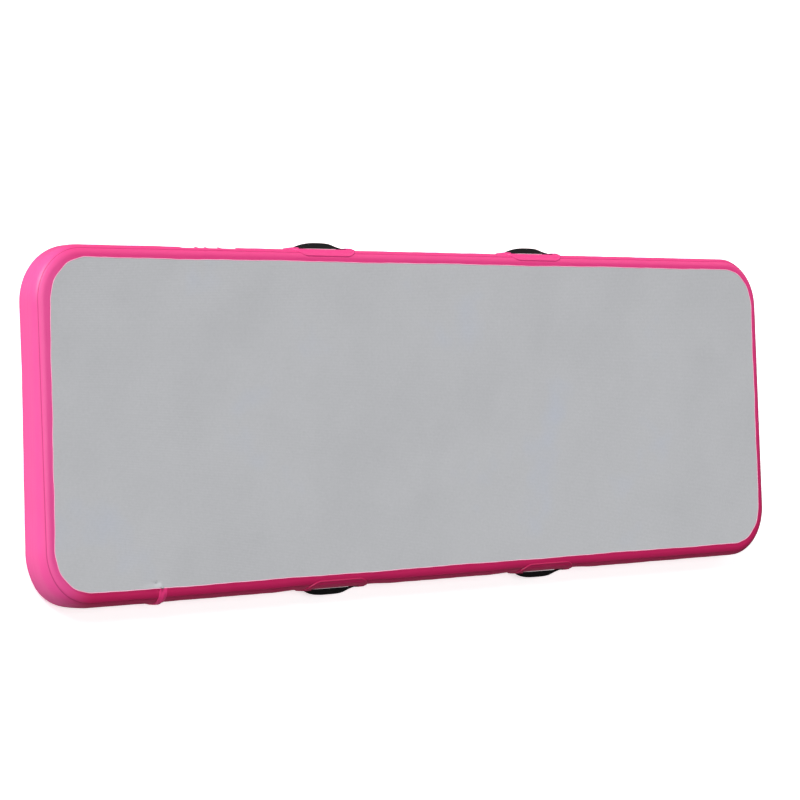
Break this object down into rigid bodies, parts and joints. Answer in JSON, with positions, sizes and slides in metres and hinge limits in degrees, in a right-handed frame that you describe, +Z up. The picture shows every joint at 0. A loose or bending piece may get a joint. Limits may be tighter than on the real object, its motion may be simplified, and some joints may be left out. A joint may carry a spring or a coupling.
{
  "type": "air track mat",
  "caption": "Long flat inflatable gymnastics mat with rounded corners, a grey grip top, pink sidewalls, webbing carry handles and an end valve.",
  "frame": {"origin": "middle of the underside, on the floor", "axes": "+X along the mat towards the valve end, +Y across it, +Z up through the grey grip face"},
  "size_m": [3.0171, 1.0494, 0.1],
  "materials": {
    "grip_fabric": "matt, fine woven texture",
    "chamber_cloth": "matt",
    "underside_fabric": "matt, smooth",
    "yarn": "matt",
    "sidewall_fabric": "satin coated fabric",
    "rim_tape_fabric": "satin coated fabric",
    "patch_fabric": "satin coated fabric",
    "webbing": "woven",
    "thread": "twisted",
    "valve_plastic": "moulded, fine matt",
    "stem_plastic": "moulded",
    "seal_rubber": "moulded",
    "tether_rubber": "moulded",
    "spring_steel": "drawn wire"
  },
  "bodies": {
    "mat": {"top_grip_layer": "grip_fabric", "top_drop_stitch_cloth": "chamber_cloth", "bottom_drop_stitch_cloth": "chamber_cloth", "bottom_skin_layer": "underside_fabric", "drop_stitch_yarns": "yarn", "inner_sidewall": "sidewall_fabric", "outer_sidewall": "sidewall_fabric", "upper_rim_tape": "rim_tape_fabric", "lower_rim_tape": "rim_tape_fabric", "sidewall_joint_strap": "rim_tape_fabric", "valve_patch": "patch_fabric", "valve_gasket": "seal_rubber", "valve_housing": "valve_plastic", "valve_nut": "valve_plastic", "valve_spring": "spring_steel", "valve_tether_strap": "tether_rubber", "handle_1_backing_patch": "patch_fabric", "handle_1_cover_patches": "patch_fabric", "handle_1_stitching": "thread", "handle_1_webbing_ends": "webbing", "handle_2_backing_patch": "patch_fabric", "handle_2_cover_patches": "patch_fabric", "handle_2_stitching": "thread", "handle_2_webbing_ends": "webbing", "handle_3_backing_patch": "patch_fabric", "handle_3_cover_patches": "patch_fabric", "handle_3_stitching": "thread", "handle_3_webbing_ends": "webbing", "handle_4_backing_patch": "patch_fabric", "handle_4_cover_patches": "patch_fabric", "handle_4_stitching": "thread", "handle_4_webbing_ends": "webbing"},
    "handle_1": {"handle_1_webbing_grip": "webbing"},
    "handle_2": {"handle_2_webbing_grip": "webbing"},
    "handle_3": {"handle_3_webbing_grip": "webbing"},
    "handle_4": {"handle_4_webbing_grip": "webbing"},
    "spring_seat": {"valve_spring_seat": "stem_plastic"},
    "valve_stem": {"valve_stem": "stem_plastic", "valve_seal": "seal_rubber"},
    "cap_tether": {"valve_tether_ring": "tether_rubber"},
    "valve_cap": {"valve_cap": "valve_plastic", "valve_cap_seal": "seal_rubber"}
  },
  "joints": [
    {"name": "handle_1_swing", "type": "hinge", "parent": "mat", "child": "handle_1", "pos_m": [-0.44, 0.5, 0.05], "axis": [-1, 0, 0], "range_deg": [0, 60], "deforming": ["handle_1_webbing_ends"]},
    {"name": "handle_2_swing", "type": "hinge", "parent": "mat", "child": "handle_2", "pos_m": [0.44, 0.5, 0.05], "axis": [-1, 0, 0], "range_deg": [0, 60], "deforming": ["handle_2_webbing_ends"]},
    {"name": "handle_3_swing", "type": "hinge", "parent": "mat", "child": "handle_3", "pos_m": [-0.44, -0.5, 0.05], "axis": [1, 0, 0], "range_deg": [0, 60], "deforming": ["handle_3_webbing_ends"]},
    {"name": "handle_4_swing", "type": "hinge", "parent": "mat", "child": "handle_4", "pos_m": [0.44, -0.5, 0.05], "axis": [1, 0, 0], "range_deg": [0, 60], "deforming": ["handle_4_webbing_ends"]},
    {"name": "valve_push", "type": "slide", "parent": "mat", "child": "spring_seat", "axis": [-1, 0, 0], "range_m": [0, 0.006], "stiffness_N_per_m": 800, "springref_m": -0.006, "deforming": ["valve_spring"]},
    {"name": "valve_twist", "type": "hinge", "parent": "spring_seat", "child": "valve_stem", "pos_m": [1.5, 0, 0.05], "axis": [-1, 0, 0], "range_deg": [0, 90]},
    {"name": "cap_lift", "type": "slide", "parent": "mat", "child": "cap_tether", "axis": [1, 0, 0], "range_m": [0, 0.008], "deforming": ["valve_tether_strap"]},
    {"name": "cap_turn", "type": "hinge", "parent": "cap_tether", "child": "valve_cap", "pos_m": [1.5, 0, 0.05], "axis": [1, 0, 0], "range_deg": [0, 720]}
  ],
  "couplings": [
    {"joint": "valve_twist", "follows": "valve_push", "rad_per_m": 261.79},
    {"joint": "cap_lift", "follows": "cap_turn", "m_per_rad": 0.000636}
  ]
}
